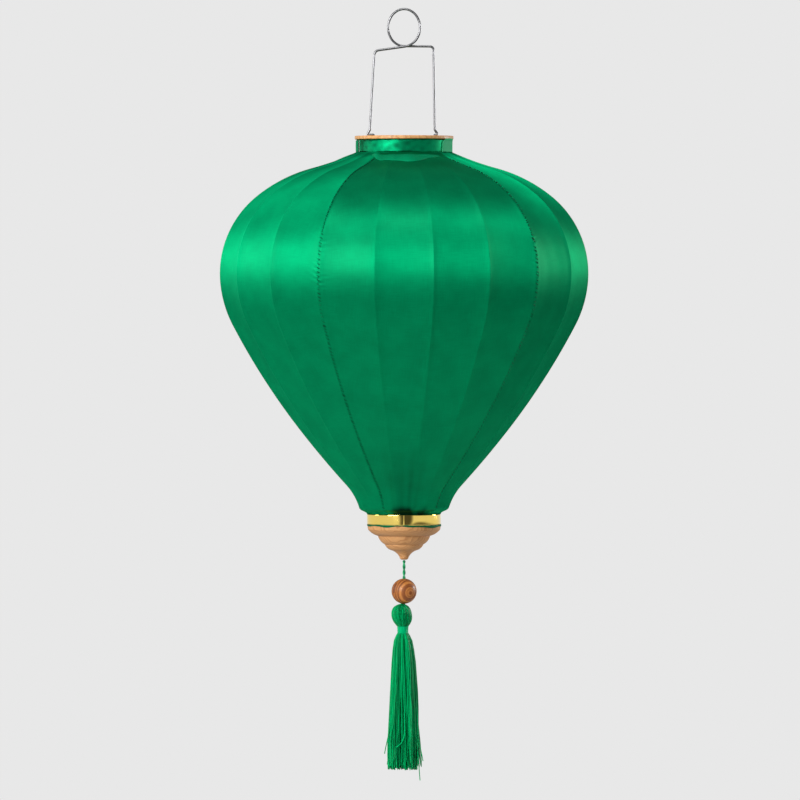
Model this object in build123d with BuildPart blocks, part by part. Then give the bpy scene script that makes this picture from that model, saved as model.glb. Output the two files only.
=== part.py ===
from build123d import *

import os
from math import cos, pi, radians, sin, tan

# Folding silk lantern that hangs from a wire eye: bamboo ribs bowed between a turned ring and a turned
# hub, satin gores, wood finial, bead and tassel.
# Millimetres. +Z is up and -Y is the front. The origin is the inside top of the eye, where a hook bears.
# Azimuths are in degrees round the vertical axis, from the front towards +X.

# ---- Hanger wire ----
wire_diameter = 2.2
eye_width = 30.3            # centre line to centre line
eye_height = 35.2
eye_corners = 12
eye_bend_share = 0.45       # share of a run between two corners that an arc takes up
eye_turn_shift = 2.4        # how far one turn of the eye moves the wire to the back
left_shoulder = (-28.1, -38.6)
right_shoulder = (27.9, -34.4)
left_shoulder_radius = 4.8
right_shoulder_radius = 3.4
left_kink_reach = 6.4       # how far a kink stands out past the leg below it
right_kink_reach = 3.6
left_kink_back = 2.6        # how far the leg above it is back in from the kink
right_kink_back = 3.2
kink_height = 4.7
kink_radius = 1.15
leg_bend_radius = 2.875     # where a leg turns out towards its kink
leg_inset_top = 1.7         # from the ring's hole to the leg's centre line
leg_inset_bottom = 3.2      # from the hub's dish to the leg's centre line
foot_length = 8.0
foot_radius = 2.0
foot_rise = 3.6             # foot's centre line over the dish's floor
foot_clearance = 0.2
wire_clearance = 0.1

# ---- Top ring ----
hanger_height = 119.65      # eye's inside top to the ring's top
ring_height = 18.9
rim_overhang = 2.8
rim_height = 3.35
ring_radius = 44.2
ring_hole_radius = 30.5
ring_edge_chamfer = 0.8
rim_edge_radius = 0.8

# ---- Body of silk over ribs ----
rib_count = 20
gore_count = 5
front_seam = -27.0          # azimuth of the seam left of the front
body_radius = 175.0         # silk's flat facets at their widest, from the axis
body_height = 338.0         # from where the silk leaves the ring to the hub's shoulder
exit_reach = 3.3            # from the ring's side to where the silk is clear of it
exit_drop = 16.35           # that place under the ring's top
exit_slope = -24.1          # degrees from level
shoulder_radius = 42.6      # silk where it turns in under the ribs' feet
silk_thickness = 0.6
silk_gap = 0.1              # silk to the wood it is glued to
neck_drop = 4.0             # height over which the silk runs in to its neck
neck_radius = 34.2          # silk's flats under the gold band
neck_length = 12.3          # straight silk from there down to the hub's bottom
# The bowed ribs' outline: share of the way from the end's radius to the body's radius, and share of the
# body's height, down from the ring.
upper_outline = ((0.318, 0.043), (0.722, 0.121))
lower_outline = ((0.996, 0.365), (0.906, 0.485), (0.422, 0.781), (0.094, 0.935))

rib_width = 4.0
rib_thickness = 2.0
rib_gap = 0.2               # rib's edges to the silk
rib_root_length = 10.5      # rib inside the ring, past where the silk leaves it
rib_foot_lift = 1.2         # rib's lower end over the silk's turn
slot_clearance = 0.25

# ---- Lacing thread through the ribs' ends ----
lace_diameter = 1.0
lace_clearance = 0.2
top_lace_place = 3.2        # along the rib from its root
bottom_lace_place = 6.0     # along the rib from its foot

# ---- Ribbon and gold band ----
ribbon_thickness = 0.7
band_thickness = 0.72
band_height = 8.8
trim_gap = 0.05             # trim to the silk's corners

# ---- Bottom hub ----
hub_height = 28.3
dish_radius = 30.0
dish_depth = 9.0
bore_radius = 7.0

# ---- Finial ----
finial_radius = 35.0
finial_height = 33.0
spigot_length = 12.0
spigot_clearance = 0.1
glue_gap = 0.1
tip_radius = 2.4
# Turned steps: share of the finial's radius and share of its height at each groove and crest.
lip = (0.985, 0.120)
first_groove = (0.720, 0.305)
second_groove = (0.530, 0.555)
ogee_start = (0.330, 0.730)
groove_width = 0.7
groove_step = 0.4
crest_rise = 0.9            # how far each turned step bulges over its chord
ogee_hollow = 0.9
ogee_end_radius = 4.4
tip_round = 2.6
tip_rise = 0.5

# ---- Cord, bead and tassel ----
cord_diameter = 2.8
cord_clearance = 0.25       # cord to the wood's and the threads' bores
knot_radius = 3.4
knot_gap = 0.05
bend_drop = 1.75            # pivot of the hanging cord under the finial's tip
bend_gap = 0.3
bead_radius = 12.0
bead_bore_clearance = 0.45
bead_drop = 30.0            # bead's centre under the finial's tip
seat_gap = 0.3              # bead on the tassel's head
head_radius = 9.7
head_height = 21.7
head_top_radius = 5.0
head_bulge = 0.45           # share of the head's height down to its widest
waist_radius = 4.4
wrap_radius = 5.5
wrap_height = 7.0
cord_in_head = 7.5
skirt_length = 130.6
skirt_top_radius = 9.3
skirt_low_radius = 15.2
skirt_flare = 0.75          # share of its length over which the skirt widens

# ---- Worked out from the values above ----
ring_top = -hanger_height
rim_radius = ring_radius + rim_overhang
exit_radius = ring_radius + exit_reach
facet_angle = 360.0 / rib_count
facets_per_gore = rib_count // gore_count
corner = 1.0 / cos(radians(facet_angle / 2))   # a facet's corner is further out than its middle
exit_height = ring_top - exit_drop
shoulder_height = exit_height - body_height
neck_height = shoulder_height - neck_drop
ring_bottom = ring_top - ring_height
rim_bottom = ring_top - rim_height
collar_radius = ring_radius + silk_gap + silk_thickness
hub_bottom = neck_height - neck_length
hub_top = hub_bottom + hub_height
dish_floor = hub_top - dish_depth
ribbon_inside = collar_radius * corner + trim_gap
band_inside = neck_radius * corner + trim_gap
rib_cover = silk_thickness + rib_gap + rib_width / 2 * tan(radians(facet_angle / 2))
tip_height = hub_bottom - finial_height
pivot_height = tip_height - bend_drop
cord_radius = cord_diameter / 2
leg_top = ring_hole_radius - leg_inset_top
leg_bottom = dish_radius - leg_inset_bottom
wire_radius = wire_diameter / 2
catch_height = ring_top + wire_radius + wire_clearance
foot_height = dish_floor + foot_rise


def radial_plane(azimuth):
    """The upright plane through the axis at an azimuth: its x runs outwards and its y up."""
    turn = radians(azimuth)
    return Plane(origin=(0, 0, 0), x_dir=(sin(turn), -cos(turn), 0), z_dir=(-cos(turn), -sin(turn), 0))



def swell_points(widening):
    """The outline's points from the ring to the hub's shoulder, widened for a facet's corners."""
    upper = [(exit_radius + (body_radius - exit_radius) * out, down) for out, down in upper_outline]
    lower = [(shoulder_radius + (body_radius - shoulder_radius) * out, down) for out, down in lower_outline]
    inner = [(radius * widening, exit_height - body_height * down) for radius, down in upper + lower]
    first = (exit_radius * widening, exit_height)
    last = (shoulder_radius * widening, shoulder_height)
    return [first, *inner, last]


def draw_swell(widening, lead):
    """Draw the bowed outline in the current line: a straight lead, then arcs that leave each other smoothly."""
    points = swell_points(widening)
    slope = radians(exit_slope)
    root = (points[0][0] - lead * cos(slope), points[0][1] - lead * sin(slope))
    step = Line(root, points[0])
    for point in points[1:]:
        step = TangentArc(step @ 1, point, tangent=step % 1)
    return step


# ---- Hanger wire: one wire from foot to foot, with one full turn at the eye ----
eye_centre = -(eye_height / 2 - wire_radius)
eye_spread = 1 / cos(pi / eye_corners)   # corners stand outside the arcs that round them


def eye_point(corner_number):
    """A corner of the eye's turn, counted from the bottom towards +X, moving back as it goes round."""
    share = (corner_number + 0.5) / eye_corners
    turn = 2 * pi * share
    return (
        eye_width / 2 * eye_spread * sin(turn),
        eye_turn_shift * (share - 0.5),
        eye_centre - eye_height / 2 * eye_spread * cos(turn),
    )


def leg_points(side, shoulder, kink_reach, kink_back):
    """One leg from the shoulder to the foot: kink over the ring, down its hole, foot out into the hub."""
    depth = side * eye_turn_shift / 2
    return [
        (shoulder[0], depth, shoulder[1]),
        (side * (leg_top + kink_reach - kink_back), depth, catch_height + kink_height),
        (side * (leg_top + kink_reach), depth, catch_height),
        (side * leg_top, depth, catch_height),
        (side * leg_bottom, depth, foot_height),
        (side * (leg_bottom + foot_length), depth, foot_height),
    ]


eye_points = [eye_point(number) for number in range(eye_corners)]
eye_radii = []
for before, here, after in zip(eye_points, eye_points[1:], eye_points[2:]):
    run_in = Vector(*here) - Vector(*before)
    run_out = Vector(*after) - Vector(*here)
    half_turn = radians(run_in.get_angle(run_out)) / 2
    eye_radii.append(eye_bend_share * min(run_in.length, run_out.length) / tan(half_turn))
eye_radii = [eye_radii[0], *eye_radii, eye_radii[-1]]
left_leg = leg_points(-1, left_shoulder, left_kink_reach, left_kink_back)
right_leg = leg_points(1, right_shoulder, right_kink_reach, right_kink_back)
kink_radii = [leg_bend_radius, kink_radius, kink_radius]
wire_points = [*reversed(left_leg), *eye_points, *right_leg]
wire_radii = [
    foot_radius, *reversed(kink_radii), left_shoulder_radius,
    *eye_radii,
    right_shoulder_radius, *kink_radii, foot_radius,
]

with BuildPart() as hanger_wire:
    with BuildLine() as wire_route:
        FilletPolyline(*wire_points, radius=wire_radii)
    with BuildSketch(Plane(origin=wire_route.line @ 0, z_dir=wire_route.line % 0)):
        Circle(wire_radius)
    sweep()

# ---- Lines that the ribs, lacing, ring and hub share ----
with BuildLine() as rib_crest:
    draw_swell(corner, rib_root_length)
rib_axis = offset(
    rib_crest.line, amount=rib_cover + rib_thickness / 2, side=Side.RIGHT, closed=False, mode=Mode.PRIVATE
).wire()
top_lace = rib_axis.position_at(top_lace_place, position_mode=PositionMode.LENGTH)
bottom_lace = rib_axis.position_at(rib_axis.length - bottom_lace_place, position_mode=PositionMode.LENGTH)
rib_foot_height = shoulder_height + rib_foot_lift
groove_half = lace_diameter / 2 + lace_clearance
silk_lead = (exit_radius - collar_radius) / cos(radians(exit_slope))
collar_bend = (collar_radius, exit_height - silk_lead * sin(radians(exit_slope)))

# ---- Silk: one facet, then a gore of facets ----
with BuildPart() as facet:
    with BuildSketch(radial_plane(0)):
        with BuildLine():
            body_line = draw_swell(1.0, silk_lead)
            Line((collar_radius, rim_bottom - silk_gap), collar_bend)
            Polyline(body_line @ 1, (neck_radius, neck_height), (neck_radius, hub_bottom))
            offset(amount=silk_thickness, side=Side.RIGHT)
        make_face()
    extrude(amount=body_radius * tan(radians(facet_angle / 2)) + 2 * silk_thickness, both=True)
    split(bisect_by=radial_plane(facet_angle / 2), keep=Keep.TOP)
    split(bisect_by=radial_plane(-facet_angle / 2), keep=Keep.BOTTOM)

with BuildPart() as gore_pattern:
    for number in range(facets_per_gore):
        add(facet.part, rotation=(0, 0, front_seam + facet_angle * (number + 0.5)))


# ---- Ribs: a strip of split bamboo in the upright plane of a facet's corner ----
with BuildPart() as rib_pattern:
    with BuildSketch(radial_plane(0)):
        with BuildLine():
            offset(rib_crest.line, amount=rib_cover, side=Side.RIGHT, closed=False)
            offset(amount=rib_thickness, side=Side.RIGHT)
        make_face()
        with Locations((top_lace.X, top_lace.Y), (bottom_lace.X, bottom_lace.Y)):
            Circle(lace_diameter / 2 + lace_clearance / 2, mode=Mode.SUBTRACT)
    extrude(amount=rib_width / 2, both=True)
    split(bisect_by=Plane.XY.offset(rib_foot_height), keep=Keep.TOP)

# ---- Top ring: turned wood, slots for the ribs' upper ends, a groove below for their thread ----
rib_angle = front_seam - 90
slot_width = rib_width + 2 * slot_clearance
ring_slot_floor = (rib_axis @ 0).X - rib_thickness / 2 - slot_clearance
ring_slot_top = (rib_axis @ 0).Y + rib_thickness / 2 + slot_clearance
with BuildPart() as top_ring:
    with BuildSketch(Plane.XY.offset(ring_top)):
        Circle(rim_radius)
        Circle(ring_hole_radius, mode=Mode.SUBTRACT)
    extrude(amount=-rim_height)
    with BuildSketch(Plane.XY.offset(rim_bottom)):
        Circle(ring_radius)
        Circle(ring_hole_radius, mode=Mode.SUBTRACT)
    extrude(amount=rim_height - ring_height)
    turned_edges = top_ring.edges().filter_by(GeomType.CIRCLE).sort_by(SortBy.RADIUS)
    chamfer(turned_edges[:2], length=ring_edge_chamfer)
    fillet(turned_edges[-2:], radius=rim_edge_radius)
    with BuildSketch(Plane.XY.offset(ring_bottom)):
        with PolarLocations((ring_slot_floor + rim_radius) / 2, rib_count, start_angle=rib_angle):
            Rectangle(rim_radius - ring_slot_floor, slot_width)
    extrude(amount=ring_slot_top - ring_bottom, mode=Mode.SUBTRACT)
    with BuildSketch(Plane.XY.offset(ring_bottom)):
        Circle(top_lace.X + groove_half)
        Circle(top_lace.X - groove_half, mode=Mode.SUBTRACT)
    extrude(amount=top_lace.Y + groove_half - ring_bottom, mode=Mode.SUBTRACT)

# ---- Lacing threads ----
with BuildPart() as top_lacing:
    with Locations((0, 0, top_lace.Y)):
        Torus(top_lace.X, lace_diameter / 2)

with BuildPart() as bottom_lacing:
    with Locations((0, 0, bottom_lace.Y)):
        Torus(bottom_lace.X, lace_diameter / 2)

# ---- Collar ribbon and gold band: strips wound over the silk's hems ----
with BuildPart() as collar_ribbon:
    with BuildSketch(Plane.XY.offset(rim_bottom - trim_gap)):
        Circle(ribbon_inside + ribbon_thickness)
        Circle(ribbon_inside, mode=Mode.SUBTRACT)
    extrude(amount=-(rim_bottom - collar_bend[1] - 2 * trim_gap))

with BuildPart() as gold_band:
    with BuildSketch(Plane.XY.offset(hub_bottom + trim_gap)):
        Circle(band_inside + band_thickness)
        Circle(band_inside, mode=Mode.SUBTRACT)
    extrude(amount=band_height)

# ---- Bottom hub: fills the foot of the silk, with slots, a groove, a dish and holes for the wire's feet ----
hub_slot_floor = rib_foot_height - slot_clearance
hub_slot_back = (rib_axis @ 1).X - rib_thickness / 2 - slot_clearance
foot_hole_end = leg_bottom + foot_length + slot_clearance
foot_hole_start = dish_radius - foot_radius
with BuildPart() as bottom_hub:
    with BuildSketch(radial_plane(0)):
        with BuildLine():
            silk_foot = draw_swell(1.0, silk_lead)
            Polyline(silk_foot @ 1, (neck_radius, neck_height), (neck_radius, hub_bottom))
            wall = offset(amount=silk_thickness + silk_gap, side=Side.RIGHT, closed=False, mode=Mode.REPLACE)
            Polyline(wall @ 1, (0, hub_bottom), (0, exit_height), wall @ 0)
        make_face()
        with Locations((0, hub_bottom)):
            Rectangle(
                2 * body_radius, hub_height, align=(Align.CENTER, Align.MIN), mode=Mode.INTERSECT
            )
    revolve(axis=Axis.Z)
    with BuildSketch(Plane.XY.offset(hub_top)):
        Circle(dish_radius)
    extrude(amount=-dish_depth, mode=Mode.SUBTRACT)
    with BuildSketch(Plane.XY.offset(dish_floor)):
        Circle(bore_radius)
    extrude(amount=dish_depth - hub_height, mode=Mode.SUBTRACT)
    with BuildSketch(Plane.XY.offset(hub_slot_floor)):
        with PolarLocations((hub_slot_back + body_radius) / 2, rib_count, start_angle=rib_angle):
            Rectangle(body_radius - hub_slot_back, slot_width)
    extrude(amount=hub_top - hub_slot_floor, mode=Mode.SUBTRACT)
    with BuildSketch(Plane.XY.offset(bottom_lace.Y - groove_half)):
        Circle(body_radius)
        Circle(bottom_lace.X - groove_half, mode=Mode.SUBTRACT)
    extrude(amount=2 * groove_half, mode=Mode.SUBTRACT)
    for side in (-1, 1):
        with Locations((side * foot_hole_start, side * eye_turn_shift / 2, foot_height)):
            Cylinder(
                wire_radius + foot_clearance, foot_hole_end - foot_hole_start,
                rotation=(0, side * 90, 0), align=(Align.CENTER, Align.CENTER, Align.MIN),
                mode=Mode.SUBTRACT,
            )


# ---- Finial: turned steps to an ogee tip, a spigot up into the hub, a hole for the cord ----
finial_top = hub_bottom - glue_gap


def turned(step, inset=0.0):
    """A place on the finial's outline from its shares of the radius and the height."""
    return (finial_radius * step[0] - inset, finial_top - (finial_height - glue_gap) * step[1])


with BuildPart() as finial:
    with BuildSketch(radial_plane(0)):
        with BuildLine():
            Polyline((0, finial_top), (finial_radius, finial_top), turned(lip))
            SagittaArc(turned(lip), turned(first_groove), crest_rise)
            inner_first = turned(first_groove, groove_step)
            low_first = (inner_first[0], inner_first[1] - groove_width)
            Polyline(turned(first_groove), inner_first, low_first)
            SagittaArc(low_first, turned(second_groove), crest_rise)
            inner_second = turned(second_groove, groove_step)
            low_second = (inner_second[0], inner_second[1] - groove_width)
            Polyline(turned(second_groove), inner_second, low_second)
            SagittaArc(low_second, turned(ogee_start), crest_rise)
            SagittaArc(turned(ogee_start), (ogee_end_radius, tip_height + tip_round), -ogee_hollow)
            SagittaArc((ogee_end_radius, tip_height + tip_round), (tip_radius, tip_height), tip_rise)
            Polyline((tip_radius, tip_height), (0, tip_height), (0, finial_top))
        make_face()
    revolve(axis=Axis.Z)
    with BuildSketch(Plane.XY.offset(finial_top)):
        Circle(bore_radius - spigot_clearance)
    extrude(amount=spigot_length)
    with BuildSketch(Plane.XY.offset(tip_height)):
        Circle(cord_radius + cord_clearance)
    extrude(amount=finial_height + spigot_length, mode=Mode.SUBTRACT)

# ---- Cord: knotted over the spigot, down through the finial, one short bend, then hanging ----
spigot_top = finial_top + spigot_length
with BuildPart() as stopper_knot:
    with Locations((0, 0, spigot_top + knot_radius + knot_gap)):
        Sphere(knot_radius)

with BuildPart() as inner_cord:
    with BuildSketch(Plane.XY.offset(spigot_top)):
        Circle(cord_radius)
    extrude(amount=tip_height - spigot_top)

with BuildPart() as cord_bend:
    with Locations((0, 0, pivot_height)):
        Sphere(cord_radius)

bead_height = tip_height - bead_drop
bead_bore = cord_radius + bead_bore_clearance
head_top = bead_height - (bead_radius**2 - bead_bore**2) ** 0.5 - seat_gap
cord_end = head_top - cord_in_head
with BuildPart() as pendant_cord:
    with BuildSketch(Plane.XY.offset(cord_end)):
        Circle(cord_radius)
    extrude(amount=pivot_height - cord_radius - bend_gap - cord_end)

# ---- Bead: a turned ball, free on the cord ----
with BuildPart() as wood_bead:
    with Locations((0, 0, bead_height)):
        Sphere(bead_radius)
        Cylinder(bead_bore, 2 * bead_radius, mode=Mode.SUBTRACT)

# ---- Tassel: folded threads over the cord's end, a wrap round the waist, a skirt below ----
waist_height = head_top - head_height
wrap_bottom = waist_height - wrap_height
with BuildPart() as tassel_head:
    with BuildSketch(radial_plane(0)):
        with BuildLine():
            Line((0, head_top), (head_top_radius, head_top))
            ThreePointArc(
                (head_top_radius, head_top),
                (head_radius, head_top - head_bulge * head_height),
                (waist_radius, waist_height),
            )
            Polyline((waist_radius, waist_height), (waist_radius, wrap_bottom), (0, wrap_bottom), (0, head_top))
        make_face()
    revolve(axis=Axis.Z)
    with BuildSketch(Plane.XY.offset(head_top)):
        Circle(cord_radius + cord_clearance)
    extrude(amount=-(cord_in_head + cord_clearance), mode=Mode.SUBTRACT)

with BuildPart() as neck_wrap:
    with BuildSketch(Plane.XY.offset(waist_height)):
        Circle(wrap_radius)
        Circle(waist_radius + trim_gap, mode=Mode.SUBTRACT)
    extrude(amount=-wrap_height)

skirt_top = wrap_bottom - trim_gap
with BuildPart() as tassel_skirt:
    with BuildSketch(radial_plane(0)):
        with BuildLine():
            Polyline(
                (0, skirt_top),
                (wrap_radius, skirt_top),
                (skirt_top_radius, skirt_top - wrap_height),
                (skirt_low_radius, skirt_top - skirt_flare * skirt_length),
                (skirt_low_radius, skirt_top - skirt_length),
                (0, skirt_top - skirt_length),
                close=True,
            )
        make_face()
    revolve(axis=Axis.Z)

# ---- Write one file for each piece ----
pieces = {
    "hanger_wire": hanger_wire.part,
    "top_ring": top_ring.part,
    "top_lacing": top_lacing.part,
    "collar_ribbon": collar_ribbon.part,
    "bottom_hub": bottom_hub.part,
    "bottom_lacing": bottom_lacing.part,
    "gold_band": gold_band.part,
    "finial": finial.part,
    "stopper_knot": stopper_knot.part,
    "inner_cord": inner_cord.part,
    "cord_bend": cord_bend.part,
    "pendant_cord": pendant_cord.part,
    "wood_bead": wood_bead.part,
    "tassel_head": tassel_head.part,
    "neck_wrap": neck_wrap.part,
    "tassel_skirt": tassel_skirt.part,
}
for number in range(rib_count):
    with BuildPart() as rib:
        add(rib_pattern.part, rotation=(0, 0, front_seam + facet_angle * number))
    pieces[f"rib_{number + 1:02d}"] = rib.part
for number in range(gore_count):
    with BuildPart() as silk_gore:
        add(gore_pattern.part, rotation=(0, 0, 360 / gore_count * number))
    pieces[f"silk_gore_{number + 1}"] = silk_gore.part

os.makedirs("parts", exist_ok=True)
for name, piece in pieces.items():
    piece.label = name
    export_step(piece, f"parts/{name}.step")
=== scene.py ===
import math

import bpy
import numpy as np
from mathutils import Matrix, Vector


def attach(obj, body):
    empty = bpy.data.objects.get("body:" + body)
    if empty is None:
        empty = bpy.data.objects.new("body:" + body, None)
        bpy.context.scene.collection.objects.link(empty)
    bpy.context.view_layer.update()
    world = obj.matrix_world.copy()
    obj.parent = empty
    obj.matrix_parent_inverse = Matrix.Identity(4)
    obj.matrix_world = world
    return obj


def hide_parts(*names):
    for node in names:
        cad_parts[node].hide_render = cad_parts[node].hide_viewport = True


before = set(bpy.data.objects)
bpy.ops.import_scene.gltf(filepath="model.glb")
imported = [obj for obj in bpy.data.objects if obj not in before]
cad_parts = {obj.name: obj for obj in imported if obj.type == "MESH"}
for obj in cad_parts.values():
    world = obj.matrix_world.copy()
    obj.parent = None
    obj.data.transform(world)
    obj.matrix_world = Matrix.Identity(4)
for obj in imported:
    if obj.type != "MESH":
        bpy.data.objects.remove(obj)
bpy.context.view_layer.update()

# ------------------------------
# Camera, lamps, surroundings and floor. The lantern hangs in a plain pale
# studio, seen from the front. Four soft lamps stand low at the front left,
# above the front, at the left side and behind the right.
CAMERA_PLACE = (-0.0039, -7.6, -0.258)
CAMERA_TARGET = (-0.0039, 0.0, -0.3711)
CAMERA_LENS = 358.98
FLOOR_LEVEL = -1.6
FLOOR_RADIUS = 2.6
BACKDROP_GREY = 0.807
WALL_GREY = 0.80
FILL_GREY = 0.15
BEHIND_CAMERA_GREY = 0.10
BODY_MIDDLE = (0.0, 0.0, -0.30)


def aim(thing, place, target):
    """Puts thing at place and turns its -Z axis to the target."""
    thing.location = place
    way = Vector(target) - Vector(place)
    thing.rotation_euler = way.to_track_quat("-Z", "Y").to_euler()


def lamp(name, azimuth, elevation, distance, width, height, power):
    """A soft rectangular lamp aimed at the lantern's middle, from an azimuth (0 in front, + right)."""
    data = bpy.data.lights.new(name, "AREA")
    data.shape = "RECTANGLE"
    data.size = width
    data.size_y = height
    data.energy = power
    thing = bpy.data.objects.new(name, data)
    bpy.context.scene.collection.objects.link(thing)
    a, e = math.radians(azimuth), math.radians(elevation)
    way = Vector((math.sin(a) * math.cos(e), -math.cos(a) * math.cos(e), math.sin(e)))
    aim(thing, Vector(BODY_MIDDLE) + distance * way, BODY_MIDDLE)


def add(tree, kind, inputs=None, **settings):
    """Adds a node to tree. Settings are its properties; inputs are values or sockets, by name or number."""
    made = tree.nodes.new(kind)
    for key, value in settings.items():
        setattr(made, key, value)
    for key, value in (inputs or {}).items():
        if isinstance(value, bpy.types.NodeSocket):
            tree.links.new(value, made.inputs[key])
        else:
            made.inputs[key].default_value = value
    return made


def maths(tree, operation, *values, **settings):
    """The output of a new Math node; values are numbers or sockets."""
    return add(tree, "ShaderNodeMath", dict(enumerate(values)), operation=operation, **settings).outputs[0]


def vector_maths(tree, operation, value, other):
    """The output of a new Vector Math node; other is its second vector, or its scale."""
    slot = 3 if operation == "SCALE" else 1
    return add(tree, "ShaderNodeVectorMath", {0: value, slot: other}, operation=operation).outputs[0]


def noise(tree, place, scale, detail, **settings):
    """The grey output of a new Noise node."""
    inputs = {"Vector": place, "Scale": scale, "Detail": detail}
    return add(tree, "ShaderNodeTexNoise", inputs, **settings).outputs["Fac"]


def ramp(tree, value, low, high, to_low, to_high, **settings):
    """The output of a new Map Range node, from low..high to to_low..to_high."""
    inputs = {0: value, 1: low, 2: high, 3: to_low, 4: to_high}
    return add(tree, "ShaderNodeMapRange", inputs, **settings).outputs[0]


camera_data = bpy.data.cameras.new("camera")
camera_data.lens = CAMERA_LENS
camera_data.sensor_width = 36.0
camera_data.clip_start = 0.05
camera_data.clip_end = 30.0
camera = bpy.data.objects.new("camera", camera_data)
bpy.context.scene.collection.objects.link(camera)
aim(camera, CAMERA_PLACE, CAMERA_TARGET)
bpy.context.scene.camera = camera
bpy.context.scene.view_settings.view_transform = "Standard"

lamp("key_lamp", -35, 16.3, 2.6, 1.2, 1.15, 76)
lamp("front_top_lamp", -8, 61, 2.4, 1.5, 0.7, 32)
lamp("side_lamp", -100, 14, 2.4, 0.6, 0.7, 14)
lamp("rim_lamp", 117, 10, 2.4, 0.5, 0.8, 34)

# The camera sees an even grey. Everything else is lit by pale walls that end
# a little above and below eye level, with a dark gap behind the camera.
world = bpy.data.worlds.new("studio")
bpy.context.scene.world = world
world.use_nodes = True
sky = world.node_tree
sky.nodes.clear()
ray = add(sky, "ShaderNodeLightPath")
seen = add(sky, "ShaderNodeBackground", {"Color": (BACKDROP_GREY,) * 3 + (1,), "Strength": 1.0})
sight = add(sky, "ShaderNodeTexCoord")
parts = add(sky, "ShaderNodeSeparateXYZ", {0: sight.outputs["Generated"]})
off_level = maths(sky, "ABSOLUTE", parts.outputs["Z"])
walls = ramp(sky, off_level, 0.06, 0.16, WALL_GREY, FILL_GREY, interpolation_type="SMOOTHSTEP")
gap = ramp(sky, parts.outputs["Y"], -0.93, -0.99, 1.0, BEHIND_CAMERA_GREY, interpolation_type="SMOOTHSTEP")
room = maths(sky, "MULTIPLY", walls, gap)
fill = add(sky, "ShaderNodeBackground", {"Color": (1, 1, 1, 1), "Strength": room})
sides = {0: ray.outputs["Is Camera Ray"], 1: fill.outputs[0], 2: seen.outputs[0]}
either = add(sky, "ShaderNodeMixShader", sides)
add(sky, "ShaderNodeOutputWorld", {"Surface": either.outputs[0]})


def new_material(name, colour, roughness, metallic=0.0, **constants):
    """A material with one Principled shader; constants are set on its sockets, with _ for spaces."""
    made = bpy.data.materials.new(name)
    made.use_nodes = True
    shader = next(n for n in made.node_tree.nodes if n.type == "BSDF_PRINCIPLED")
    shader.inputs["Base Color"].default_value = (*colour, 1)
    shader.inputs["Roughness"].default_value = roughness
    shader.inputs["Metallic"].default_value = metallic
    for key, value in constants.items():
        shader.inputs[key.replace("_", " ")].default_value = value
    return made, made.node_tree, shader


def mesh_object(name, points, faces, material, uv=None, body="lantern", **values):
    """A smooth-shaded object of points (n, 3) and faces (m, k).

    It has a UV map in metres if uv is given, and a float attribute for each further value.
    """
    mesh = bpy.data.meshes.new(name)
    mesh.from_pydata(np.asarray(points, float).reshape(-1, 3).tolist(), [], [list(f) for f in faces])
    mesh.shade_smooth()
    if uv is not None:
        layer = mesh.uv_layers.new(name="cloth")
        corners = np.empty(len(mesh.loops), np.int32)
        mesh.loops.foreach_get("vertex_index", corners)
        layer.uv.foreach_set("vector", np.asarray(uv, np.float32).reshape(-1, 2)[corners].ravel())
    for key, value in values.items():
        held = mesh.attributes.new(key, "FLOAT", "POINT")
        held.data.foreach_set("value", np.asarray(value, np.float32).ravel())
    mesh.materials.append(material)
    made = bpy.data.objects.new(name, mesh)
    bpy.context.scene.collection.objects.link(made)
    if body is not None:
        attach(made, body)
    return made


def circle(steps):
    """Evenly spaced turns round a closed circle."""
    return np.linspace(0, 2 * math.pi, steps + 1)[:-1]


def grid_faces(rows, columns, closed=False):
    """Quads of a grid whose points are numbered row by row; closed joins its last column to its first.

    They face outwards if the rows go down and the columns turn from -Y to +X.
    """
    i = np.arange(rows - 1)[:, None] * columns
    j = np.arange(columns if closed else columns - 1)[None, :]
    k = (j + 1) % columns
    return np.stack([i + j, i + columns + j, i + columns + k, i + k], -1).reshape(-1, 4)


FLOOR_SIDES = 96
floor_turn = circle(FLOOR_SIDES)
floor_points = np.stack([
    FLOOR_RADIUS * np.cos(floor_turn), FLOOR_RADIUS * np.sin(floor_turn), np.full(FLOOR_SIDES, FLOOR_LEVEL),
], -1)
floor_look, _, _ = new_material("pale_floor", (0.62, 0.62, 0.61), 0.8)
floor = mesh_object("floor", floor_points, [list(range(FLOOR_SIDES))], floor_look, body=None)

# ------------------------------
# Pendant cord. Two shiny rayon plies laid round each other. It leaves the
# tip of the wooden drop, runs through the bead and into the tassel's head,
# and swings with the pendant.
CORD_TOP = -0.5251
CORD_END = -0.5729
CORD_WIDTH = 0.0026
PLY_RADIUS = 0.00076
PLY_OFFSET = 0.00070
PLY_PITCH = 0.0112


def new_group(name, inputs, outputs):
    """A node group with a Vector input and further number inputs and outputs. Gives it and its two ends."""
    group = bpy.data.node_groups.new(name, "ShaderNodeTree")
    group.interface.new_socket("Vector", in_out="INPUT", socket_type="NodeSocketVector")
    for way, labels in (("INPUT", inputs), ("OUTPUT", outputs)):
        for label in labels:
            group.interface.new_socket(label, in_out=way, socket_type="NodeSocketFloat")
    return group, group.nodes.new("NodeGroupInput"), group.nodes.new("NodeGroupOutput")


def thread_group(name, spacing, depth):
    """Node group: fine threads laid along a tube. Gives a Tone and a Height from any Vector."""
    group, enter, leave = new_group(name, (), ("Tone", "Height"))
    place = enter.outputs["Vector"]
    waving = {"Vector": place, "Scale": 1 / spacing, "Distortion": 1.6, "Detail": 2.0}
    strand = add(group, "ShaderNodeTexWave", waving).outputs["Fac"]
    patches = noise(group, place, 420.0, 3.0)
    group.links.new(maths(group, "MULTIPLY", strand, patches), leave.inputs["Tone"])
    group.links.new(maths(group, "MULTIPLY", strand, depth), leave.inputs["Height"])
    return group


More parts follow.
